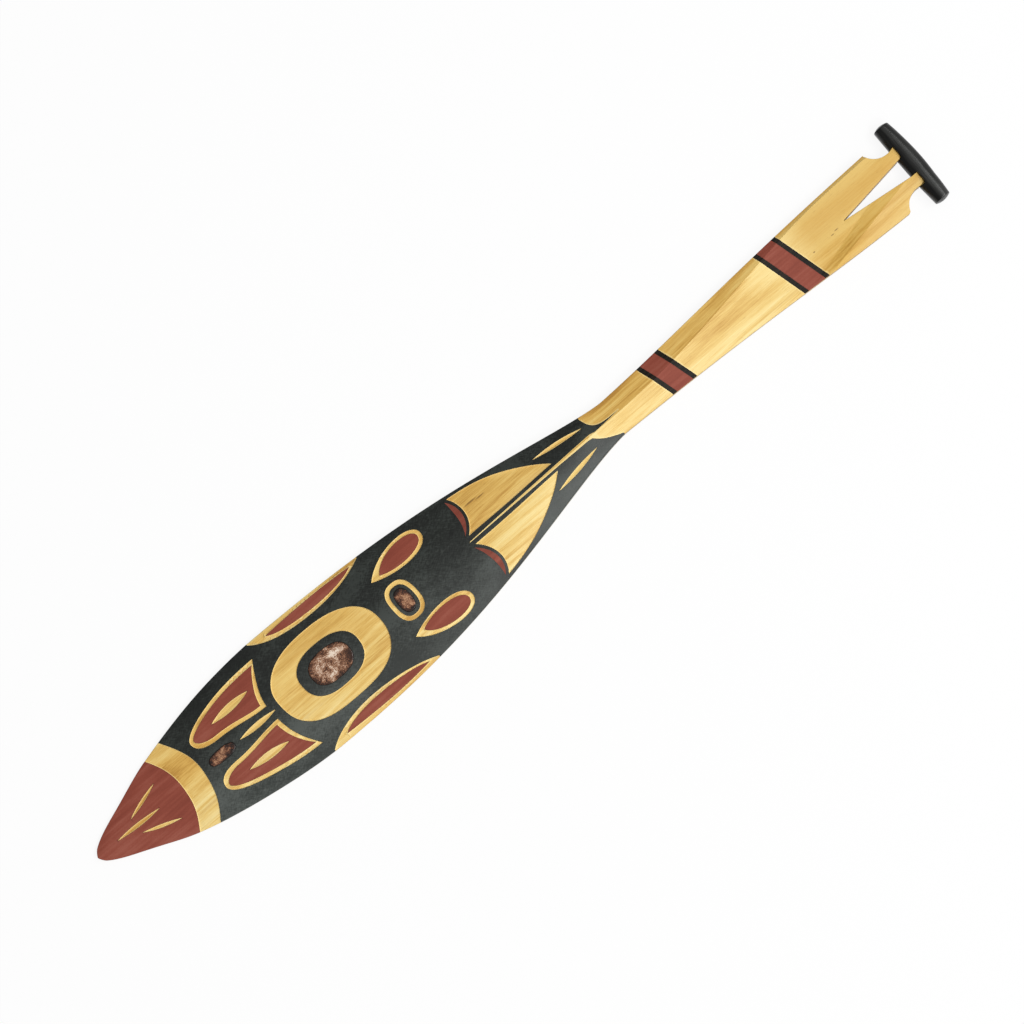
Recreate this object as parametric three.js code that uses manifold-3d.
// A carved cedar paddle, lying on its back with the carved front up.
//
// Millimetres. While it is being built, x runs along the paddle from the tip of the blade to the
// top of the grip, y runs across it and z goes up out of the carved front. At the end the whole
// group is moved so that its origin is at the centre of the box's underside.

import * as THREE from "three";
import { mergeVertices } from "three/addons/utils/BufferGeometryUtils.js";
import Module from "manifold-3d";

const wasm = await Module();
wasm.setup();

// Lengths along the paddle
const TIP_TO_WIDEST = 300;
const WIDEST_TO_NECK = 480;
const NECK_TO_SHOULDER = 413;
const SHOULDER_TO_GRIP = 27;
const GRIP_WIDTH = 25;

// Half widths of the plan outline
const TIP_HALF = 3;
const BLADE_HALF = 80.5;
const NECK_HALF = 22.8;
const SHOULDER_HALF = 42.9;

// How full the outline is: the two powers that swell it out of the tip, and the two that hollow
// it on its way into the neck
const SWELL = [1.7, 1.33];
const HOLLOW = [2.4, 1.45];

// How much each side is drawn in just behind the tip, and over what length
const TIP_PINCH = 2.4;
const TIP_PINCH_LENGTH = 110;

// How far the hand-cut outline wanders off the straight centre line: the blade and the shaft bow
// as a whole, and the tip leans a little more over a length of its own
const BLADE_BOW = -4.4;
const TIP_LEAN = -1.5;
const TIP_LEAN_LENGTH = 230;
const SHAFT_BOW = 1.4;

// Heights of the front above the flat back, at its crown and along its edges
const TIP_CROWN = 8;
const BLADE_CROWN = 15;
const NECK_CROWN = 25;
const FORK_TOP = 21;
const TIP_EDGE_TOP = 6;
const BLADE_EDGE_TOP = 9;
const SHAFT_EDGE_TOP = 16;

// The back is flat in the middle and lifts to the edge in a bevel
const BACK_BEVEL_BLADE = 26;
const BACK_BEVEL_SHAFT = 9;
const BACK_LIFT_TIP = 2.5;
const BACK_LIFT_BLADE = 4;
const BACK_LIFT_SHAFT = 5;
const BACK_BEVEL_MOST = 0.6;

// The ridge rises out of the blade and drifts from the middle of the neck towards the upper edge
const RIDGE_START = 560;
const RIDGE_END_SIDE = 0.9;

// At the fork a hollow facet runs slantwise over the lower arm, between a valley and a crest.
// Both are straight, from a place on the lower edge to a place beside the slot: [x, y] and [x, y].
const VALLEY = [[1047, -36.3], [1220, 11.1]];
const CREST = [[1075, -38.2], [1214, -11.2]];
const CREST_RISE = 4;
const CREST_FULL = 1150;
const FACET_LEAST = 0.01;

// Fork: a V slot and two tongues that carry the grip
const SLOT_DEPTH = 91;
const SLOT_HALF = 12;
const TONGUE_WAIST = 14;
const WAIST_TO_GRIP = 4;
const SHOULDER_RADIUS = 24;
const LAP_LENGTH = 8;
const LAP_UNDERSIDE = 13;
const TENON_LENGTH = 17;
const TONGUE_ROOT = 2;
const TENON_WIDTH = 11;
const TENON_BOTTOM = 5;
const TENON_THICKNESS = 9;

// Grip bar and its pegs
const GRIP_LENGTH = 113;
const GRIP_HEIGHT = 24.5;
const GRIP_END_WIDTH = 19.5;
const GRIP_END_BULGE = 5;
const GRIP_END_FACE = 0.72;
const GRIP_FLAT = 0.6;
const GRIP_SIDES = 24;
const GRIP_RINGS = 14;
const GRIP_END_INSETS = [0.02, 0.3, 0.75, 1.5, 2.8, 5];
const GRIP_ROUNDNESS = 0.8;
const PEG_DIAMETER = 6;
const PEG_SIDES = 20;
const PEG_LENGTH = 16;
const PEG_RECESS = 0.5;

// Inlays. Each has its length along the paddle, its width across and the place of its middle from
// the tip. Its top is level with the crown of the front there.
const INLAY_THICKNESS = 4;
const INLAY_BEVEL = 0.6;
const TIP_INLAY = { name: "shell_inlay_tip", along: 37, across: 14, at: 187 };
const LARGE_INLAY = { name: "shell_inlay_large", along: 56, across: 38, at: 350 };
const BAND_INLAY = { name: "shell_inlay_band", along: 18, across: 30, at: 462 };
const INLAYS = [TIP_INLAY, LARGE_INLAY, BAND_INLAY];

// Relief carving: how deep the bare fields lie, how wide the line round a painted field is, and
// how far an oval field reaches past the one inside it
const CARVE_DEPTH = 1.25;
const LINE_WIDTH = 4;
const LARGE_RIM_ALONG = 14;
const LARGE_RIM_ACROSS = 10;
const LARGE_FIELD_ALONG = 33;
const LARGE_FIELD_ACROSS = 19;
const BAND_RIM = 4.5;

// Slits: where each starts and ends, from the tip and from the centre line, and its width. One
// lies on the centre line of the tip, and the others come in pairs.
const TIP_SLIT_MIDDLE = [30, 0, 92, 0, 5];
const TIP_SLIT_SIDE = [58, 10, 104, 26, 4];
const FIELD_SLIT = [200, 34, 256, 38, 8];
const SHAFT_SLIT = [668, 24, 742, 14, 5];

// Clearance between neighbours, and how densely the long forms are sampled
const GAP = 0.3;
const FACET_STEPS = [4, 4, 1, 1];
const CURVE_STEPS = 7;
const ARC_STEPS = 12;
const OVAL_STEPS = 28;
const OVAL_POWER = 0.8;
const STATION_STEP = 26;
const TIP_STATIONS = [0, 1.5, 4, 8, 14, 22, 32, 45, 60];
const CORE_START = 14;
const CORE_INSET = 1;
const MERGE_DISTANCE = 1e-4;

// Places along the paddle that follow from the lengths
const NECK_AT = TIP_TO_WIDEST + WIDEST_TO_NECK;
const SHOULDER_AT = NECK_AT + NECK_TO_SHOULDER;
const GRIP_AT = SHOULDER_AT + SHOULDER_TO_GRIP;
const GRIP_BACK_AT = GRIP_AT + GRIP_WIDTH;
const SLOT_AT = GRIP_AT - SLOT_DEPTH;
const WAIST_AT = GRIP_AT - WAIST_TO_GRIP;
const TONGUE_OUTER = SLOT_HALF + TONGUE_WAIST;
const TONGUE_MIDDLE = SLOT_HALF + TONGUE_WAIST / 2;
const TONGUE_END = GRIP_AT + LAP_LENGTH;
const TENON_TOP = TENON_BOTTOM + TENON_THICKNESS;
const TENON_END = GRIP_AT + TENON_LENGTH;
const PEG_END = PEG_RECESS + PEG_LENGTH;
const PEG_HOLE_END = PEG_END + GAP;

// Heights and a place that are clear of everything, where cutting blocks end
const ABOVE = 60;
const BELOW = -20;
const PAST_GRIP = GRIP_BACK_AT + ABOVE;

const clamp = (value, low = 0, high = 1) => Math.min(high, Math.max(low, value));

function ease(from, to, x) {
  const s = clamp((x - from) / (to - from));
  return s * s * (3 - 2 * s);
}

// A value that goes smoothly through [place, value] pairs
function through(pairs, x) {
  let value = pairs[0][1];
  for (let i = 1; i < pairs.length; i += 1) {
    const [from, before] = pairs[i - 1];
    const [to, after] = pairs[i];
    value += (after - before) * ease(from, to, x);
  }
  return value;
}

// Half the width of the plan outline at x
function halfWidth(x) {
  if (x < TIP_TO_WIDEST) {
    const s = clamp(x / TIP_TO_WIDEST);
    const swelling = (1 - (1 - s) ** SWELL[0]) ** (1 / SWELL[1]);
    const pinch = TIP_PINCH * Math.sin(Math.PI * clamp(x / TIP_PINCH_LENGTH)) ** 2;
    return TIP_HALF + (BLADE_HALF - TIP_HALF) * swelling - pinch;
  }
  if (x < NECK_AT) {
    const s = clamp((x - TIP_TO_WIDEST) / WIDEST_TO_NECK);
    const hollowing = (1 - s ** HOLLOW[0]) ** HOLLOW[1];
    return NECK_HALF + (BLADE_HALF - NECK_HALF) * hollowing;
  }
  const s = clamp((x - NECK_AT) / NECK_TO_SHOULDER);
  const straight = (s + ease(0, 1, s)) / 2;
  return NECK_HALF + (SHOULDER_HALF - NECK_HALF) * straight;
}

// Where the middle of the outline lies at x
function middle(x) {
  if (x < NECK_AT) {
    const lean = TIP_LEAN * Math.sin(Math.PI * clamp(x / TIP_LEAN_LENGTH)) ** 2;
    return BLADE_BOW * Math.sin(Math.PI * clamp(x / NECK_AT)) ** 2 + lean;
  }
  const s = clamp((x - NECK_AT) / NECK_TO_SHOULDER);
  return SHAFT_BOW * Math.sin(Math.PI * s) ** 2;
}

// Where the ridge lies at x, as a share of the half width: 0 in the middle, 1 at the upper edge
function ridgeSide(x) {
  return RIDGE_END_SIDE * ease(NECK_AT, SLOT_AT, x);
}

// Where a straight line laid on the front lies at x, as a share of the half width
function lineSide([[x0, y0], [x1, y1]], x) {
  const y = y0 + ((y1 - y0) * (x - x0)) / (x1 - x0);
  return (y - middle(x)) / halfWidth(x);
}

// The front at x as flat facets, [side, height] from the upper edge down to the lower one
function facets(x) {
  const crown = through(
    [[0, TIP_CROWN], [TIP_TO_WIDEST, BLADE_CROWN], [NECK_AT, NECK_CROWN], [SLOT_AT, FORK_TOP]],
    x,
  );
  const edge = through(
    [[0, TIP_EDGE_TOP], [TIP_TO_WIDEST, BLADE_EDGE_TOP], [NECK_AT, SHAFT_EDGE_TOP]],
    x,
  );
  const ridge = ridgeSide(x);
  const valley = clamp(lineSide(VALLEY, x), -1 + 2 * FACET_LEAST, ridge - FACET_LEAST);
  const crest = clamp(lineSide(CREST, x), -1 + FACET_LEAST, valley - FACET_LEAST);
  const slope = (crown - edge) / (ridge + 1);
  const valleyTop = edge + slope * (valley + 1);
  const rise = CREST_RISE * ease(VALLEY[0][0], CREST_FULL, x);
  const crestTop = rise > 0 ? Math.min(valleyTop + rise, FORK_TOP) : edge + slope * (crest + 1);
  return [[1, edge], [ridge, crown], [valley, valleyTop], [crest, crestTop], [-1, edge]];
}

// Height of the front over the flat back, t running from -1 at one edge to 1 at the other. The
// blade is cambered and the shaft has facets.
function frontHeight(x, t) {
  const corners = facets(x);
  const edge = corners[0][1];
  const crown = corners[1][1];
  const cambered = edge + (crown - edge) * (1 - t * t);
  const next = corners.findIndex(([side], i) => i > 0 && t >= side);
  const [upperSide, upper] = corners[next - 1];
  const [lowerSide, lower] = corners[next];
  const flat = lower + ((upper - lower) * (t - lowerSide)) / (upperSide - lowerSide);
  return cambered + (flat - cambered) * ease(RIDGE_START, NECK_AT, x);
}

function backLift(x) {
  return through(
    [[0, BACK_LIFT_TIP], [TIP_TO_WIDEST, BACK_LIFT_BLADE], [NECK_AT, BACK_LIFT_SHAFT]],
    x,
  );
}

function backBevel(x) {
  const bevel = through([[TIP_TO_WIDEST, BACK_BEVEL_BLADE], [NECK_AT, BACK_BEVEL_SHAFT]], x);
  return Math.min(bevel, BACK_BEVEL_MOST * halfWidth(x));
}

// One ring of points round the paddle at x, seen from the grip: along the back, then the front.
// A ring for the core lies inside the surface: sunk below the front and drawn in at the sides.
function ring(x, sunk) {
  const drawnIn = sunk > 0 ? CORE_INSET : 0;
  const half = halfWidth(x) - drawnIn;
  const centre = middle(x);
  const lift = backLift(x) + drawnIn;
  const flat = half - backBevel(x);
  const points = [
    [x, centre - half, lift],
    [x, centre - flat, drawnIn],
    [x, centre + flat, drawnIn],
    [x, centre + half, lift],
  ];
  const sides = facets(x).map(([side]) => side);
  for (let i = 0; i < FACET_STEPS.length; i += 1) {
    for (let j = 0; j < FACET_STEPS[i]; j += 1) {
      const t = sides[i] + ((sides[i + 1] - sides[i]) * j) / FACET_STEPS[i];
      points.push([x, centre + half * t, frontHeight(x, t) - sunk]);
    }
  }
  points.push([x, centre - half, frontHeight(x, -1) - sunk]);
  return points;
}

function geometryFrom(positions, indices) {
  const geometry = new THREE.BufferGeometry();
  geometry.setAttribute("position", new THREE.Float32BufferAttribute(positions, 3));
  geometry.setIndex(indices);
  return geometry;
}

// A closed body through rings that all have the same number of points
function loft(rings) {
  const count = rings[0].length;
  const indices = [];
  for (let r = 0; r + 1 < rings.length; r += 1) {
    for (let i = 0; i < count; i += 1) {
      const a = r * count + i;
      const b = r * count + ((i + 1) % count);
      indices.push(a, b, b + count);
      indices.push(a, b + count, a + count);
    }
  }
  const last = (rings.length - 1) * count;
  for (let i = 1; i + 1 < count; i += 1) {
    indices.push(0, i + 1, i);
    indices.push(last, last + i, last + i + 1);
  }
  return geometryFrom(rings.flat(2), indices);
}

function solidFrom(geometry) {
  const bare = geometry.clone();
  bare.deleteAttribute("normal");
  bare.deleteAttribute("uv");
  const merged = mergeVertices(bare, MERGE_DISTANCE);
  return new wasm.Manifold(
    new wasm.Mesh({
      numProp: 3,
      vertProperties: new Float32Array(merged.attributes.position.array),
      triVerts: new Uint32Array(merged.index.array),
    }),
  );
}

function geometryOf(solid) {
  const mesh = solid.getMesh();
  return geometryFrom(Array.from(mesh.vertProperties), Array.from(mesh.triVerts));
}

// A flat outline in x and y, stood up from one height to another
function prism(shape, low, high) {
  const geometry = new THREE.ExtrudeGeometry(shape, { depth: high - low, bevelEnabled: false });
  geometry.translate(0, 0, low);
  return solidFrom(geometry);
}

function block(x0, x1, y0, y1, z0, z1) {
  const geometry = new THREE.BoxGeometry(x1 - x0, y1 - y0, z1 - z0);
  geometry.translate((x0 + x1) / 2, (y0 + y1) / 2, (z0 + z1) / 2);
  return solidFrom(geometry);
}

// A closed outline, its points always taken anticlockwise so that a hole fits any outline
function polygon(points) {
  const outline = points.map(([x, y]) => new THREE.Vector2(x, y));
  if (THREE.ShapeUtils.isClockWise(outline)) {
    outline.reverse();
  }
  return new THREE.Shape(outline);
}

// An oval with full shoulders, the form of every oval field and of the inlays
function oval(x, along, across) {
  const points = [];
  for (let i = 0; i < OVAL_STEPS; i += 1) {
    const angle = (2 * Math.PI * i) / OVAL_STEPS;
    const c = Math.cos(angle);
    const s = Math.sin(angle);
    points.push([
      x + (along / 2) * Math.sign(c) * Math.abs(c) ** OVAL_POWER,
      middle(x) + (across / 2) * Math.sign(s) * Math.abs(s) ** OVAL_POWER,
    ]);
  }
  return polygon(points);
}

// An outline drawn beside a straight centre line, laid on one side of the paddle's real one
function laidOn(shape, side) {
  const points = shape.getPoints(CURVE_STEPS).slice(0, -1);
  return polygon(points.map((point) => [point.x, middle(point.x) + side * point.y]));
}

// A slender carved cut between two points
function slit([x0, y0, x1, y1, width]) {
  const shape = new THREE.Shape();
  const along = new THREE.Vector2(x1 - x0, y1 - y0);
  const across = new THREE.Vector2(-along.y, along.x).setLength((width * 2) / 3);
  const third = along.clone().multiplyScalar(1 / 3);
  shape.moveTo(x0, y0);
  shape.bezierCurveTo(
    x0 + third.x + across.x,
    y0 + third.y + across.y,
    x1 - third.x + across.x,
    y1 - third.y + across.y,
    x1,
    y1,
  );
  shape.bezierCurveTo(
    x1 - third.x - across.x,
    y1 - third.y - across.y,
    x0 + third.x - across.x,
    y0 + third.y - across.y,
    x0,
    y0,
  );
  return shape;
}

// A U with its nose towards the tip, hollowed at its foot to run round the large oval
function uField(inset) {
  const shape = new THREE.Shape();
  shape.moveTo(262 - inset, 10 + inset);
  shape.bezierCurveTo(240, 10 + inset, 222, 16 + inset, 196, 16 + inset);
  shape.bezierCurveTo(176 + inset, 16 + inset, 166 + inset, 22 + inset, 166 + inset, 32);
  shape.bezierCurveTo(166 + inset, 46 - inset, 222, 62 - inset, 284 - inset, 63 - inset);
  shape.bezierCurveTo(274 - inset, 48, 264 - inset, 32, 262 - inset, 10 + inset);
  return shape;
}

// A crescent between the large oval and the edge of the blade
function crescentField(inset) {
  const shape = new THREE.Shape();
  shape.moveTo(292 + 4 * inset, 69);
  shape.bezierCurveTo(320, 77 - inset, 400, 76 - inset, 448 - 4 * inset, 62);
  shape.bezierCurveTo(400, 52 + inset, 330, 54 + inset, 292 + 4 * inset, 69);
  return shape;
}

// A drop beside the inlay at the broad band, its point towards the tip
function dropField(inset) {
  const shape = new THREE.Shape();
  shape.moveTo(440 + 2.5 * inset, 44);
  shape.bezierCurveTo(456, 62 - inset, 494 - inset, 64 - inset, 494 - inset, 50);
  shape.bezierCurveTo(494 - inset, 38 + inset, 468, 33 + inset, 440 + 2.5 * inset, 44);
  return shape;
}

// A leaf beside the ridge, its point towards the neck
function leafField() {
  const shape = new THREE.Shape();
  shape.moveTo(566, 6);
  shape.lineTo(680, 5);
  shape.bezierCurveTo(650, 26, 615, 44, 572, 49);
  shape.bezierCurveTo(582, 36, 582, 20, 566, 6);
  return shape;
}

function withHole(outline, hole) {
  outline.holes.push(hole);
  return outline;
}

// Fields sunk into the front, left as bare wood between the painted ones
function carvedFields() {
  const rimAlong = LARGE_INLAY.along + 2 * LARGE_RIM_ALONG;
  const rimAcross = LARGE_INLAY.across + 2 * LARGE_RIM_ACROSS;
  const fieldAlong = rimAlong + 2 * LARGE_FIELD_ALONG;
  const fieldAcross = rimAcross + 2 * LARGE_FIELD_ACROSS;
  const large = withHole(
    oval(LARGE_INLAY.at, fieldAlong, fieldAcross),
    oval(LARGE_INLAY.at, rimAlong, rimAcross),
  );

  const bandAlong = BAND_INLAY.along + 2 * BAND_RIM;
  const bandAcross = BAND_INLAY.across + 2 * BAND_RIM;
  const band = withHole(
    oval(BAND_INLAY.at, bandAlong + 2 * LINE_WIDTH, bandAcross + 2 * LINE_WIDTH),
    oval(BAND_INLAY.at, bandAlong, bandAcross),
  );

  const fields = [large, band, laidOn(slit(TIP_SLIT_MIDDLE), 1)];
  for (const side of [-1, 1]) {
    for (const field of [uField, crescentField, dropField]) {
      fields.push(withHole(laidOn(field(0), side), laidOn(field(LINE_WIDTH), side)));
    }
    for (const ends of [TIP_SLIT_SIDE, FIELD_SLIT, SHAFT_SLIT]) {
      fields.push(laidOn(slit(ends), side));
    }
    fields.push(laidOn(leafField(), side));
  }
  return fields;
}

function carvedBody() {
  const stations = [...TIP_STATIONS];
  const end = TENON_END;
  const start = stations.at(-1);
  const steps = Math.ceil((end - start) / STATION_STEP);
  for (let i = 1; i <= steps; i += 1) {
    stations.push(start + ((end - start) * i) / steps);
  }
  const full = solidFrom(loft(stations.map((x) => ring(x, 0))));
  const inner = stations.filter((x) => x >= CORE_START);
  const core = solidFrom(loft(inner.map((x) => ring(x, CARVE_DEPTH))));

  let body = full;
  for (const field of carvedFields()) {
    body = body.subtract(prism(field, BELOW, ABOVE));
  }
  return body.add(core);
}

// The outer side of a tongue: the hollow of the shoulder's circle, or that of one drawn in by a
// clearance, from one place along the paddle to another
function hollowSide(side, clearance, from, to) {
  const points = [];
  for (let i = 0; i <= ARC_STEPS; i += 1) {
    const x = from + ((to - from) * i) / ARC_STEPS;
    const squared = (SHOULDER_RADIUS - clearance) ** 2 - (x - WAIST_AT) ** 2;
    const y = TONGUE_OUTER + SHOULDER_RADIUS - Math.sqrt(Math.max(0, squared));
    points.push([x, side * y]);
  }
  return points;
}

// The V slot, the two hollow shoulders and what is left of each tongue where it meets the grip
function forkCuts(body) {
  const slot = polygon([
    [SLOT_AT, 0],
    [GRIP_AT, -SLOT_HALF],
    [GRIP_AT + ABOVE, -SLOT_HALF],
    [GRIP_AT + ABOVE, SLOT_HALF],
    [GRIP_AT, SLOT_HALF],
  ]);
  let cut = body.subtract(prism(slot, BELOW, ABOVE));

  for (const side of [-1, 1]) {
    const hollow = hollowSide(side, 0, SHOULDER_AT, TONGUE_END);
    const outer = side * (SHOULDER_HALF + ABOVE);
    const past = [PAST_GRIP, hollow.at(-1)[1]];
    const shoulder = polygon([[SHOULDER_AT, outer], ...hollow, past, [PAST_GRIP, outer]]);
    cut = cut.subtract(prism(shoulder, BELOW, ABOVE));
  }
  return tongueEnds(cut);
}

// Beyond the grip's face only the lap and the tenon under it stay of each tongue
function tongueEnds(body) {
  const face = GRIP_AT - GAP;
  const root = face - TONGUE_ROOT;
  const lap = body.intersect(block(root, TONGUE_END, -ABOVE, ABOVE, LAP_UNDERSIDE, ABOVE));
  let ends = body.subtract(block(face, PAST_GRIP, -ABOVE, ABOVE, BELOW, ABOVE)).add(lap);
  for (const side of [-1, 1]) {
    const y = side * TONGUE_MIDDLE;
    const half = TENON_WIDTH / 2;
    ends = ends.add(block(root, TENON_END, y - half, y + half, TENON_BOTTOM, TENON_TOP));
  }
  return ends;
}

// A peg from one height to another, or with a widening the hole that it fits
function pegCylinder(side, widening, low, high) {
  const radius = PEG_DIAMETER / 2 + widening;
  const geometry = new THREE.CylinderGeometry(radius, radius, high - low, PEG_SIDES);
  geometry.rotateX(Math.PI / 2);
  geometry.translate(GRIP_AT + TENON_LENGTH / 2, side * TONGUE_MIDDLE, (low + high) / 2);
  return geometry;
}

// The height of the seat that an inlay lies on
function seatHeight({ at }) {
  return frontHeight(at, 0) - INLAY_THICKNESS;
}

function paddleBody() {
  let body = forkCuts(carvedBody());
  for (const side of [-1, 1]) {
    body = body.subtract(solidFrom(pegCylinder(side, GAP, BELOW, PEG_HOLE_END)));
  }
  for (const inlay of INLAYS) {
    const { along, across, at } = inlay;
    const pocket = oval(at, along + 2 * GAP, across + 2 * GAP);
    body = body.subtract(prism(pocket, seatHeight(inlay), ABOVE));
  }
  return geometryOf(body);
}

// The inlay is a flat-bottomed plate with its top edge eased
function inlayGeometry(inlay) {
  const { along, across, at } = inlay;
  const seat = seatHeight(inlay);
  const shape = oval(at, along - 2 * INLAY_BEVEL, across - 2 * INLAY_BEVEL);
  const geometry = new THREE.ExtrudeGeometry(shape, {
    depth: INLAY_THICKNESS - INLAY_BEVEL,
    bevelThickness: INLAY_BEVEL,
    bevelSize: INLAY_BEVEL,
    bevelSegments: 1,
  });
  geometry.translate(0, 0, seat);
  const solid = solidFrom(geometry).subtract(
    block(at - along, at + along, -across - ABOVE, across + ABOVE, BELOW, seat),
  );
  return geometryOf(solid);
}

// One ring of points round the grip at v from its middle. The grip is straight on the paddle's
// side and bowed on the far side, and its ends bulge.
function gripRing(v) {
  const s = Math.abs(v) / (GRIP_LENGTH / 2);
  const width = GRIP_WIDTH + (GRIP_END_WIDTH - GRIP_WIDTH) * s * s;
  const rounding = clamp((GRIP_LENGTH / 2 - Math.abs(v)) / GRIP_END_BULGE);
  const bulge = Math.sqrt(1 - (1 - rounding) ** 2);
  const scale = GRIP_END_FACE + (1 - GRIP_END_FACE) * bulge;
  const points = [];
  for (let i = 0; i < GRIP_SIDES; i += 1) {
    const angle = (2 * Math.PI * i) / GRIP_SIDES;
    const c = Math.cos(angle);
    const d = Math.sin(angle);
    const across = (width / 2) * scale * Math.sign(c) * Math.abs(c) ** GRIP_ROUNDNESS;
    const height = (GRIP_HEIGHT / 2 + GRIP_FLAT) * scale;
    const up = height * Math.sign(d) * Math.abs(d) ** GRIP_ROUNDNESS;
    points.push([GRIP_AT + width / 2 + across, v, GRIP_HEIGHT / 2 + up]);
  }
  return points;
}

function gripBar() {
  const half = GRIP_LENGTH / 2;
  const places = GRIP_END_INSETS.map((inset) => inset - half);
  const inner = half - GRIP_END_INSETS.at(-1);
  for (let i = 1; i < GRIP_RINGS; i += 1) {
    places.push(-inner + (2 * inner * i) / GRIP_RINGS);
  }
  for (const inset of GRIP_END_INSETS.toReversed()) {
    places.push(half - inset);
  }
  const rings = places.map(gripRing);
  let bar = solidFrom(loft(rings.toReversed()));
  bar = bar.subtract(block(0, PAST_GRIP, -ABOVE - half, ABOVE + half, BELOW, 0));
  bar = bar.subtract(block(0, PAST_GRIP, -ABOVE - half, ABOVE + half, GRIP_HEIGHT, ABOVE));

  for (const side of [-1, 1]) {
    const inner = side * (SLOT_HALF - GAP);
    const outer = hollowSide(side, GAP, WAIST_AT, TONGUE_END + GAP);
    const lap = polygon([[WAIST_AT, inner], ...outer, [TONGUE_END + GAP, inner]]);
    bar = bar.subtract(prism(lap, LAP_UNDERSIDE - GAP, ABOVE));

    const y = side * TONGUE_MIDDLE;
    const half = TENON_WIDTH / 2 + GAP;
    const [floor, ceiling] = [TENON_BOTTOM - GAP, TENON_TOP + GAP];
    bar = bar.subtract(block(WAIST_AT, TENON_END + GAP, y - half, y + half, floor, ceiling));
    bar = bar.subtract(solidFrom(pegCylinder(side, GAP, BELOW, PEG_HOLE_END)));
  }
  return geometryOf(bar);
}

const cedar = new THREE.MeshStandardMaterial({ color: "#dfb76f", roughness: 0.55 });
const blackPaint = new THREE.MeshStandardMaterial({ color: "#2b2b2a", roughness: 0.5 });
const pegWood = new THREE.MeshStandardMaterial({ color: "#a87b45", roughness: 0.6 });
const nacre = new THREE.MeshStandardMaterial({ color: "#8a6a5a", roughness: 0.25 });

const paddle = new THREE.Group();

function addPiece(name, geometry, material) {
  const mesh = new THREE.Mesh(geometry, material);
  mesh.name = name;
  paddle.add(mesh);
}

addPiece("paddle_body", paddleBody(), cedar);
addPiece("grip_bar", gripBar(), blackPaint);
addPiece("grip_peg_left", pegCylinder(1, 0, PEG_RECESS, PEG_END), pegWood);
addPiece("grip_peg_right", pegCylinder(-1, 0, PEG_RECESS, PEG_END), pegWood);
for (const inlay of INLAYS) {
  addPiece(inlay.name, inlayGeometry(inlay), nacre);
}

// The origin goes to the centre of the underside of the whole paddle's box
const box = new THREE.Box3().setFromObject(paddle);
paddle.position.set(-(box.min.x + box.max.x) / 2, -(box.min.y + box.max.y) / 2, -box.min.z);

export default paddle;
